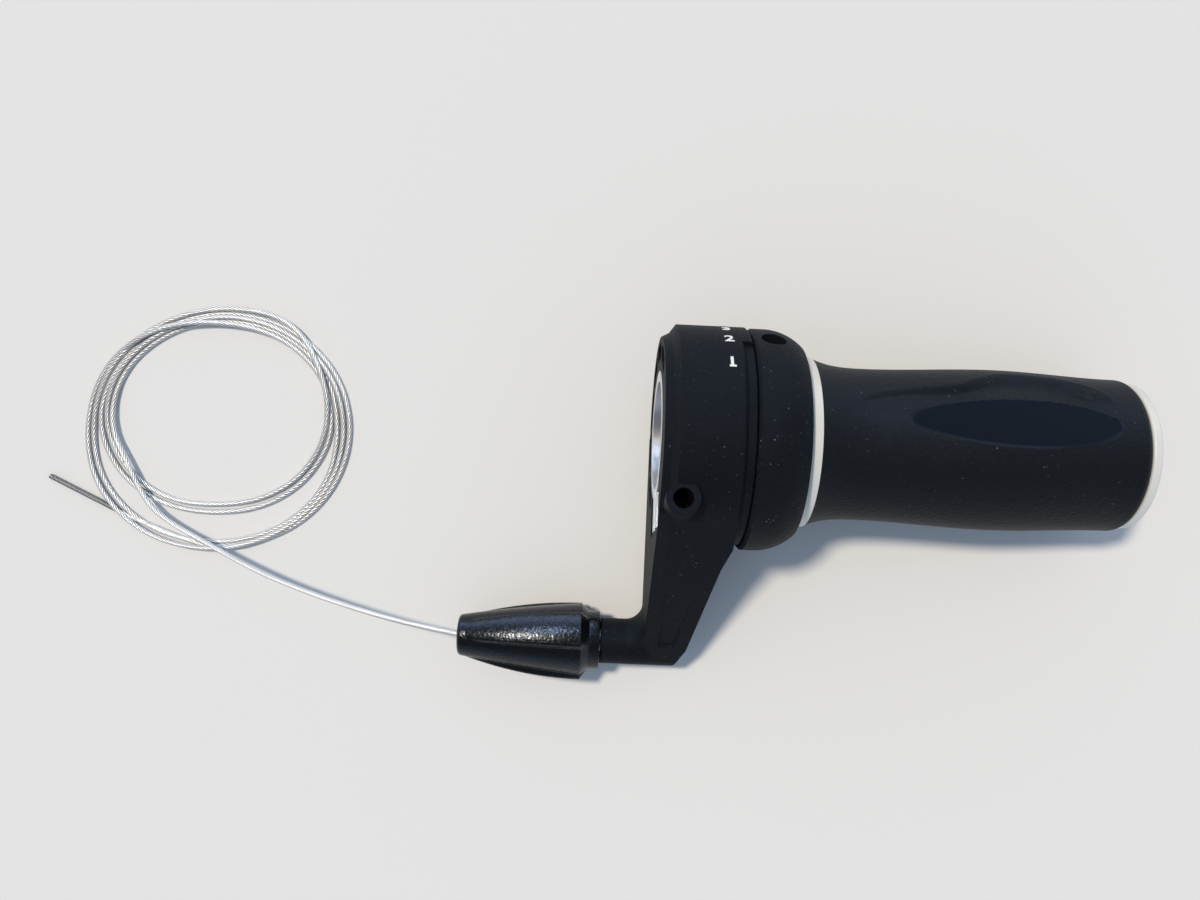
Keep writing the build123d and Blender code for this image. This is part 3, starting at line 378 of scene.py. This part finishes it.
def strand_tree():
    """Geometry Nodes: twists a lobed section along a line, one lobe for each strand."""
    tree = bpy.data.node_groups.new("twisted_strands", "GeometryNodeTree")
    face = tree.interface
    face.new_socket("Line", in_out="INPUT", socket_type="NodeSocketGeometry")
    for name, kind in [("Wire Radius", "Float"), ("Groove Depth", "Float"), ("Strands", "Int"),
                       ("Lay Length", "Float"), ("Dipped From", "Float"), ("Step", "Float"),
                       ("Finish", "Material")]:
        face.new_socket(name, in_out="INPUT", socket_type="NodeSocket" + kind)
    face.new_socket("Wire", in_out="OUTPUT", socket_type="NodeSocketGeometry")
    given = put(tree, "NodeGroupInput").outputs
    line = put(tree, "GeometryNodeMeshToCurve", {"Mesh": given["Line"]})
    even = put(tree, "GeometryNodeResampleCurve", {
        "Curve": line.outputs["Curve"], "Length": given["Step"]}, mode="LENGTH")
    along = put(tree, "GeometryNodeSplineParameter").outputs["Length"]
    turns = put(tree, "ShaderNodeMath", {0: along, 1: given["Lay Length"]}, operation="DIVIDE")
    twist = put(tree, "ShaderNodeMath", {0: turns.outputs["Value"], 1: 2 * pi}, operation="MULTIPLY")
    laid = put(tree, "GeometryNodeSetCurveTilt", {
        "Curve": even.outputs["Curve"], "Tilt": twist.outputs["Value"]})
    past = put(tree, "ShaderNodeMath", {0: along, 1: given["Dipped From"]}, operation="GREATER_THAN")
    dipped = put(tree, "GeometryNodeStoreNamedAttribute", {
        "Geometry": laid.outputs["Curve"], "Name": "dipped", "Value": past.outputs["Value"]},
        data_type="FLOAT", domain="POINT")
    points = put(tree, "ShaderNodeMath", {0: given["Strands"], 1: LOBE_POINTS}, operation="MULTIPLY")
    ring = put(tree, "GeometryNodeCurvePrimitiveCircle", {
        "Resolution": points.outputs["Value"], "Radius": given["Wire Radius"]})
    around = put(tree, "GeometryNodeSplineParameter").outputs["Factor"]
    lobes = put(tree, "ShaderNodeMath", {0: around, 1: given["Strands"]}, operation="MULTIPLY")
    lobe = put(tree, "ShaderNodeMath", {0: lobes.outputs["Value"], 1: 2 * pi}, operation="MULTIPLY")
    wave = put(tree, "ShaderNodeMath", {0: lobe.outputs["Value"]}, operation="COSINE")
    dip = put(tree, "ShaderNodeMapRange", {
        "Value": wave.outputs["Value"], "From Min": 0.3, "From Max": 1.0})
    sunk = put(tree, "ShaderNodeMath", {
        0: dip.outputs["Result"], 1: given["Groove Depth"]}, operation="MULTIPLY")
    left = put(tree, "ShaderNodeMath", {0: 1.0, 1: sunk.outputs["Value"]}, operation="SUBTRACT")
    spot = put(tree, "GeometryNodeInputPosition").outputs["Position"]
    drawn = put(tree, "ShaderNodeVectorMath", {
        0: spot, "Scale": left.outputs["Value"]}, operation="SCALE")
    lobed = put(tree, "GeometryNodeSetPosition", {
        "Geometry": ring.outputs["Curve"], "Position": drawn.outputs["Vector"]})
    marked = put(tree, "GeometryNodeStoreNamedAttribute", {
        "Geometry": lobed.outputs["Geometry"], "Name": "groove", "Value": dip.outputs["Result"]},
        data_type="FLOAT", domain="POINT")
    swept = put(tree, "GeometryNodeCurveToMesh", {
        "Curve": dipped.outputs["Geometry"], "Profile Curve": marked.outputs["Geometry"],
        "Fill Caps": True})
    smooth = put(tree, "GeometryNodeSetShadeSmooth", {"Geometry": swept.outputs["Mesh"]})
    real = put(tree, "GeometryNodeRealizeInstances", {"Geometry": smooth.outputs["Geometry"]})
    painted = put(tree, "GeometryNodeSetMaterial", {
        "Geometry": real.outputs["Geometry"], "Material": given["Finish"]})
    put(tree, "NodeGroupOutput", {"Wire": painted.outputs["Geometry"]})
    return tree


def grown(mesh, tree, inputs):
    """The plain mesh that a Geometry Nodes tree makes of a mesh."""
    obj = bpy.data.objects.new("grown", mesh)
    SCENE.collection.objects.link(obj)
    nodes = obj.modifiers.new("nodes", "NODES")
    nodes.node_group = tree
    for item in tree.interface.items_tree:
        if item.in_out == "INPUT" and item.name in inputs:
            nodes[item.identifier] = inputs[item.name]
    made = plain_mesh(obj)
    bpy.data.objects.remove(obj)
    return made


wire_mesh = grown(line_mesh, strand_tree(), {
    "Wire Radius": WIRE_D / 2 * MM, "Groove Depth": GROOVE, "Strands": STRANDS, "Lay Length": LAY * MM,
    "Dipped From": wire_length - DIPPED * MM, "Step": WIRE_STEP * MM, "Finish": shift_wire})
free_wire = piece("free_wire", wire_mesh, shift_wire, "fixed")
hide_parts("cable_lead", "cable_coil", "cable_tail")

# Numbers on the band

BAND_R = 23.0
NUMBER_X = 12.4
NUMBER_HIGH = 2.4
NUMBER_WIDER = 1.2
# How far the strokes are thickened, half the thickness of the ink, which is thicker than real ink so that
# it stands clear of the band, and the height of a figure in a font of size 1
NUMBER_BOLD, INK, FIGURE_HIGH = 0.07, 0.04, 0.72
# The foot of the 1: its middle from the figure's middle and from its lower edge, its length and height
FOOT_X, FOOT_UP, FOOT_LONG, FOOT_HIGH = 0.1, 0.2, 1.1, 0.45
# The numbers are cut into strips before they are bent; the strips start off the figures' corners
STRIP, STRIP_OFF = 0.3, 0.013
# The photograph shows the first three at these angles; the rest follow the last step
NUMBER_ANGLES = [38.7, 57.0, 71.5, 86.0, 100.5, 115.0, 129.5]


def number_mesh(gear, middle):
    """A gear's number, bent round the band with its middle at an angle."""
    text = bpy.data.curves.new("number", "FONT")
    text.body = str(gear)
    text.align_x, text.align_y = "CENTER", "CENTER"
    text.size = NUMBER_HIGH / FIGURE_HIGH
    text.offset = NUMBER_BOLD
    text.extrude = INK
    text.resolution_u = 4
    holder = bpy.data.objects.new("number", text)
    SCENE.collection.objects.link(holder)
    mesh = plain_mesh(holder)
    bpy.data.objects.remove(holder)
    work = bmesh.new()
    work.from_mesh(mesh)
    bmesh.ops.remove_doubles(work, verts=work.verts, dist=0.001)
    if gear == 1:
        foot = Matrix.Translation((FOOT_X, FOOT_UP - NUMBER_HIGH / 2, 0))
        foot = foot @ Matrix.Diagonal((FOOT_LONG, FOOT_HIGH, 2 * INK, 1))
        bmesh.ops.create_cube(work, size=1.0, matrix=foot)
    for i in range(-6, 7):
        whole = work.verts[:] + work.edges[:] + work.faces[:]
        bmesh.ops.bisect_plane(work, geom=whole, dist=0.0005,
                               plane_co=(0, i * STRIP + STRIP_OFF, 0), plane_no=(0, 1, 0))
    for v in work.verts:
        turn = v.co.y / BAND_R * 180 / pi
        v.co = round_bar(NUMBER_X + v.co.x * NUMBER_WIDER, BAND_R + INK + v.co.z, middle + turn)
    bmesh.ops.recalc_face_normals(work, faces=work.faces)
    work.to_mesh(mesh)
    work.free()
    return mesh


for gear, middle in enumerate(NUMBER_ANGLES, 1):
    piece(f"gear_number_{gear}", number_mesh(gear, middle), number_ink, "fixed")

# Rubber sleeve

SLEEVE_X, SLEEVE_END, SLEEVE_BORE, SLEEVE_CORNER = 30.5, 95.5, 13.25, 1.8
# Outline of the sleeve: place along the bar, radius, slope
OUTLINE = [(30.5, 17.4, -0.45), (41.0, 15.65, -0.0042), (70.0, 16.6, -0.0083), (93.7, 15.7, 0.0)]
# Edges of the leaf-shaped scoop under the thumb: place along the bar, degrees from the top
LEAF_UPPER = [(35.5, 25.8), (38.3, 34.5), (42.5, 42.2), (49.8, 48.6), (54.7, 49.9), (59.7, 53.7),
              (63.6, 61.2), (68.3, 69.0), (72.4, 69.5), (79.1, 68.0), (85.5, 57.4), (89.1, 43.5),
              (90.0, 30.0)]
LEAF_LOWER = [(35.5, 22.0), (39.8, 9.9), (45.6, 8.0), (51.4, 4.6), (60.8, 1.9), (74.9, 2.1),
              (82.3, 6.7), (87.9, 17.8), (90.0, 30.0)]
LEAF_START, LEAF_END = LEAF_UPPER[0][0], LEAF_UPPER[-1][0]
LEAF_DEEP = 1.8
# Along the bar, a share of the depth is reached by one place and the rest between two others,
# and the floor comes up again from a last place on
LEAF_FIRST, LEAF_FIRST_BY, LEAF_THEN_FROM, LEAF_THEN_BY, LEAF_RISE = 0.3, 44.0, 40.0, 68.0, 84.0
# Across the scoop, from its lower edge, the depth is full between these shares of the width
LEAF_FLOOR, LEAF_WALL = 0.6, 0.84
# The edges are evened out over this much to each side
LEAF_EVEN = 1.5
# The scoop and the pad lie between these angles
SCULPT_FROM, SCULPT_TO = -20, 90
# The oval pad: its middle, its length, its width in degrees, and the distance of its flat from the axis
PAD_X, PAD_ANGLE, PAD_LONG, PAD_WIDE = 68.7, 21.0, 41.4, 37.0
PAD_FLAT = 15.5
# The pad is wider towards the outer end, and its edge is soft
PAD_EGG, PAD_EDGE = 0.13, 0.35
# The vertices are close between these angles round the bar and wider apart on the rest of the way
FINE_FROM, FINE_TO, FINE_STEP, COARSE_STEP = -25, 95, 0.6, 2.4
# Edges that turn by more than this many degrees stay sharp
SHARP = 50


def outline(x):
    """The sleeve's radius before it is sculpted: a curve through its points, with their slopes."""
    for (xa, ra, sa), (xb, rb, sb) in zip(OUTLINE, OUTLINE[1:]):
        if x <= xb:
            h = xb - xa
            t = (x - xa) / h
            return ((1 + 2 * t) * (1 - t) ** 2 * ra + t * (1 - t) ** 2 * h * sa
                    + t * t * (3 - 2 * t) * rb + t * t * (t - 1) * h * sb)
    return OUTLINE[-1][1]


def edge_at(edge, x):
    """The angle of one of the scoop's edges, straight between its points."""
    for (xa, a), (xb, b) in zip(edge, edge[1:]):
        if x <= xb:
            t = max(0.0, (x - xa) / (xb - xa))
            return a + (b - a) * t
    return edge[-1][1]


def smooth(a, b, v):
    """0 below a, 1 above b, and an even step between."""
    t = min(1.0, max(0.0, (v - a) / (b - a)))
    return t * t * (3 - 2 * t)


def sleeve_skin(x, angle):
    """Radius of the sculpted sleeve, and how far the point is on the smooth oval pad."""
    r = outline(x)
    if not LEAF_START < x < LEAF_END or not SCULPT_FROM < angle < SCULPT_TO:
        return r, 0.0
    near = (x - LEAF_EVEN, x, x + LEAF_EVEN)
    low = sum(edge_at(LEAF_LOWER, place) for place in near) / 3
    high = sum(edge_at(LEAF_UPPER, place) for place in near) / 3
    s = (angle - low) / max(high - low, 1.0)
    drop = LEAF_FIRST * smooth(LEAF_START, LEAF_FIRST_BY, x)
    drop += (1 - LEAF_FIRST) * smooth(LEAF_THEN_FROM, LEAF_THEN_BY, x)
    deep = LEAF_DEEP * drop * (1 - smooth(LEAF_RISE, LEAF_END, x))
    r -= deep * smooth(0.0, LEAF_FLOOR, s) * (1 - smooth(LEAF_WALL, 1.0, s))
    half_long, half_wide = PAD_LONG / 2, radians(PAD_WIDE / 2) * PAD_FLAT
    u = (x - PAD_X) / half_long
    v = radians(angle - PAD_ANGLE) * PAD_FLAT / half_wide / (1 + PAD_EGG * u)
    oval = hypot(u, v)
    # About how far the point lies outside the oval, in mm
    beyond = (oval - 1) * max(oval, 0.1) / max(hypot(u / half_long, v / half_wide), 0.01)
    pad = 1 - smooth(-PAD_EDGE, PAD_EDGE, beyond)
    flat = PAD_FLAT / cos(radians(angle - PAD_ANGLE))
    return r + (flat - r) * pad, pad


def turned_shell(name, stations, angles, axis=Vector((0, 0, 0))):
    """A closed shell round an axis along the bar, with a vertex at each angle. A station has its place
    and a radius, or a function that gives the radius and the share of smooth pad at an angle."""
    work = bmesh.new()
    on_pad = work.verts.layers.float.new("pad")
    rings = []
    for x, radius in stations:
        ring = []
        for angle in angles:
            r, pad = radius(x, angle) if callable(radius) else (radius, 0.0)
            v = work.verts.new(axis * MM + round_bar(x, r, angle))
            v[on_pad] = pad
            ring.append(v)
        rings.append(ring)
    for a, b in zip(rings, rings[1:] + rings[:1]):
        for k in range(len(angles)):
            work.faces.new((a[k], a[k - 1], b[k - 1], b[k]))
    bmesh.ops.recalc_face_normals(work, faces=work.faces)
    mesh = bpy.data.meshes.new(name)
    work.to_mesh(mesh)
    work.free()
    mesh.shade_smooth()
    mesh.set_sharp_from_angle(angle=radians(SHARP))
    return mesh


def sleeve_mesh(steps=250, corner_steps=8):
    """The sleeve: outside, rounded end, bore and inner face. Its vertices are close round the thumb."""
    fine = round((FINE_TO - FINE_FROM) / FINE_STEP)
    coarse = round((360 + FINE_FROM - FINE_TO) / COARSE_STEP)
    angles = [FINE_FROM + FINE_STEP * i for i in range(fine)]
    angles += [FINE_TO + COARSE_STEP * i for i in range(coarse)]
    long = SLEEVE_END - SLEEVE_CORNER - SLEEVE_X
    stations = [(SLEEVE_X + long * i / steps, sleeve_skin) for i in range(steps + 1)]
    for i in range(1, corner_steps + 1):
        turn = pi / 2 * i / corner_steps
        stations.append((SLEEVE_END - SLEEVE_CORNER * (1 - sin(turn)),
                         OUTLINE[-1][1] - SLEEVE_CORNER * (1 - cos(turn))))
    stations += [(SLEEVE_END, SLEEVE_BORE), (SLEEVE_X, SLEEVE_BORE)]
    return turned_shell("thumb_sleeve", stations, angles)


thumb_sleeve = piece("thumb_sleeve", sleeve_mesh(), sleeve_rubber, "grip")
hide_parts("grip_sleeve")

# Adjuster barrel

BARREL_TIP, BARREL_SHOULDER, BARREL_NECK, BARREL_END = -41.1, -13.8, -12.0, -9.6
BARREL_AXIS = ACROSS * -46.2 - UP * 17.3
TIP_R, BODY_R, BODY_BULGE, COLLAR_R = 4.4, 8.0, 0.35, 6.5
# Raised petals: where they start, how they grow, and how they lie round the barrel
PETAL_START, PETAL_R, PETAL_POWER = -40.2, 8.8, 2.0
PETAL_MIDDLE, PETAL_HALF, PETAL_ROUND, PETAL_EDGE = 26.0, 32.0, 4.5, 8.0
TIP_EDGE, COLLAR_EDGE = 0.8, 0.4
# The way through the barrel, from the collar on: a recess, then the screw's stem, the wire and the casing
RECESS_R, RECESS_END, STEM_R, STEM_END = 4.4, -15.2, 2.45, -26.6
WIRE_WAY_R, CASING_END, CASING_R, CASING_FLARE = 0.9, -32.1, 2.6, 0.3


def bowed(x, xa, ra, xb, rb, bulge):
    """Radius along a bowed line from one place to another."""
    t = (x - xa) / (xb - xa)
    return ra + (rb - ra) * t + 4 * bulge * t * (1 - t)


def barrel_skin(x, angle):
    """Radius of the barrel: a bowed cone with three raised petals, with round ends near the tip."""
    body = bowed(x, BARREL_TIP, TIP_R, BARREL_SHOULDER, BODY_R, BODY_BULGE)
    t = min(1.0, max(0.0, (x - PETAL_START) / (BARREL_SHOULDER - PETAL_START)))
    petal = TIP_R + (PETAL_R - TIP_R) * (1 - (1 - t) ** PETAL_POWER)
    u = min(1.0, max(0.0, (x - PETAL_START) / PETAL_ROUND))
    half = PETAL_HALF * (1 - (1 - u) ** 2) ** 0.5
    if x > BARREL_SHOULDER:
        t = (x - BARREL_SHOULDER) / (BARREL_NECK - BARREL_SHOULDER)
        body, petal = BODY_R + (COLLAR_R - BODY_R) * t, PETAL_R + (COLLAR_R - PETAL_R) * t
    away = abs((angle - PETAL_MIDDLE + 60) % 120 - 60)
    r = body + max(0.0, petal - body) * (1 - smooth(half - PETAL_EDGE, half, away))
    drop = x - BARREL_TIP
    if drop < TIP_EDGE:
        r -= TIP_EDGE - (TIP_EDGE ** 2 - (TIP_EDGE - drop) ** 2) ** 0.5
    return r, 0.0


def barrel_mesh(steps=130, edge_steps=6, neck_steps=8, rounds=270):
    """The barrel: its outside, the collar, and the way of the screw, the wire and the casing inside."""
    start = BARREL_TIP + TIP_EDGE
    long, neck = BARREL_SHOULDER - start, BARREL_NECK - BARREL_SHOULDER
    places = [BARREL_TIP + TIP_EDGE * i / edge_steps for i in range(edge_steps)]
    places += [start + long * i / steps for i in range(steps + 1)]
    places += [BARREL_SHOULDER + neck * i / neck_steps for i in range(1, neck_steps + 1)]
    stations = [(x, barrel_skin) for x in places]
    stations += [
        (BARREL_END - COLLAR_EDGE, COLLAR_R), (BARREL_END - COLLAR_EDGE / 4, COLLAR_R - COLLAR_EDGE / 4),
        (BARREL_END, COLLAR_R - COLLAR_EDGE), (BARREL_END, RECESS_R), (RECESS_END, RECESS_R),
        (RECESS_END, STEM_R), (STEM_END, STEM_R), (STEM_END, WIRE_WAY_R), (CASING_END, WIRE_WAY_R),
        (CASING_END, CASING_R), (BARREL_TIP + CASING_FLARE, CASING_R),
        (BARREL_TIP, CASING_R + CASING_FLARE)]
    angles = [360 * k / rounds for k in range(rounds)]
    return turned_shell("adjuster_knob", stations, angles, BARREL_AXIS)


adjuster_knob = piece("adjuster_knob", barrel_mesh(), barrel_acetal, "adjuster")
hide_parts("adjuster_barrel")

# Floor, light and background

PAPER, PAPER_CLOUD = "#e3e3e3", "#e4e4e4"
FLOOR_HALF = 3.0


def paper_skin(tree):
    """Plain paper: a breath of unevenness in the white."""
    place = put(tree, "ShaderNodeTexCoord").outputs["Object"]
    cloud = put(tree, "ShaderNodeTexNoise", {"Vector": place, "Scale": 1 / (120 * MM), "Detail": 2.0})
    colour = put(tree, "ShaderNodeMix", {
        "Factor": cloud.outputs["Fac"], "A": linear(PAPER), "B": linear(PAPER_CLOUD)}, data_type="RGBA")
    return {"Base Color": colour.outputs["Result"]}


# Matte white paper.
white_paper = finish("white_paper", paper_skin, Roughness=0.9, **{"Specular IOR Level": 0.0})
floor_mesh = bpy.data.meshes.new("floor")
corners = [(x * FLOOR_HALF, y * FLOOR_HALF, TABLE * MM) for x, y in ((-1, -1), (1, -1), (1, 1), (-1, 1))]
floor_mesh.from_pydata(corners, [], [(0, 1, 2, 3)])
floor_mesh.materials.append(white_paper)
floor = bpy.data.objects.new("floor", floor_mesh)
SCENE.collection.objects.link(floor)

# A soft box, up and to the left and far off, gives the shadow, and the room fills it, a little bluer.
# Together they light the floor at 1, so that colours render as written.
KEY_FROM = Vector((-0.30, 0.27, 1.0)).normalized()
KEY_AWAY = 30.0
KEY_WIDE = 3.67
KEY_SHARE = 0.685
KEY_TINT = (1.0, 0.888, 0.723)
FILL = 0.40
FILL_TINT = (0.80, 0.99, 1.27, 1.0)
key = bpy.data.lights.new("soft_box", "AREA")
key.shape, key.size = "DISK", KEY_WIDE
key.energy = KEY_SHARE * pi ** 2 * KEY_AWAY ** 2 / KEY_FROM.z
key.color = KEY_TINT
key_light = bpy.data.objects.new("soft_box", key)
SCENE.collection.objects.link(key_light)
key_light.location = KEY_FROM * KEY_AWAY
key_light.rotation_euler = KEY_FROM.to_track_quat("Z", "Y").to_euler()

# The room lights evenly. In gloss it is dark overhead and bright behind the band, with a window there,
# and low down it shows the pale background, which is all that the camera sees of it.
WINDOW = Vector((-0.11, 0.54, 0.82)).normalized()
world = bpy.data.worlds.new("studio")
SCENE.world = world
world.use_nodes = True
room = world.node_tree
room.nodes.clear()
toward = put(room, "ShaderNodeTexCoord").outputs["Generated"]
axes = put(room, "ShaderNodeSeparateXYZ", {"Vector": toward}).outputs
walls = put(room, "ShaderNodeMapRange", {
    "Value": axes["Z"], "From Min": 0.7, "From Max": 0.2, "To Min": 0.18, "To Max": 1.2})
back = put(room, "ShaderNodeMapRange", {
    "Value": axes["Y"], "From Min": 0.2, "From Max": 0.95, "To Min": 0.6, "To Max": 4.0})
pane = put(room, "ShaderNodeVectorMath", {0: toward, 1: WINDOW}, operation="DOT_PRODUCT")
window = put(room, "ShaderNodeMapRange", {
    "Value": pane.outputs["Value"], "From Min": 0.9945, "From Max": 0.9965, "To Max": 24.0})
lit = put(room, "ShaderNodeMath", {
    0: walls.outputs["Result"], 1: back.outputs["Result"], 2: window.outputs["Result"]},
    operation="MULTIPLY_ADD")
rays = put(room, "ShaderNodeLightPath").outputs
shiny = put(room, "ShaderNodeMath", {
    0: rays["Is Glossy Ray"], 1: rays["Is Transmission Ray"]}, operation="MAXIMUM")
strength = put(room, "ShaderNodeMix", {
    "Factor": shiny.outputs["Value"], "A": FILL, "B": lit.outputs["Value"]})
glow = put(room, "ShaderNodeBackground", {
    "Color": FILL_TINT, "Strength": strength.outputs["Result"]})
seen = put(room, "ShaderNodeBackground", {"Color": linear(PAPER), "Strength": 1.0})
low = put(room, "ShaderNodeMapRange", {"Value": axes["Z"], "From Min": 0.25, "From Max": 0.12})
shown = put(room, "ShaderNodeMath", {
    0: shiny.outputs["Value"], 1: low.outputs["Result"], 2: rays["Is Camera Ray"]},
    operation="MULTIPLY_ADD")
sky = put(room, "ShaderNodeMixShader", {
    0: shown.outputs["Value"], 1: glow.outputs["Background"], 2: seen.outputs["Background"]})
put(room, "ShaderNodeOutputWorld", {"Surface": sky.outputs["Shader"]})

SCENE.view_settings.view_transform = "Standard"
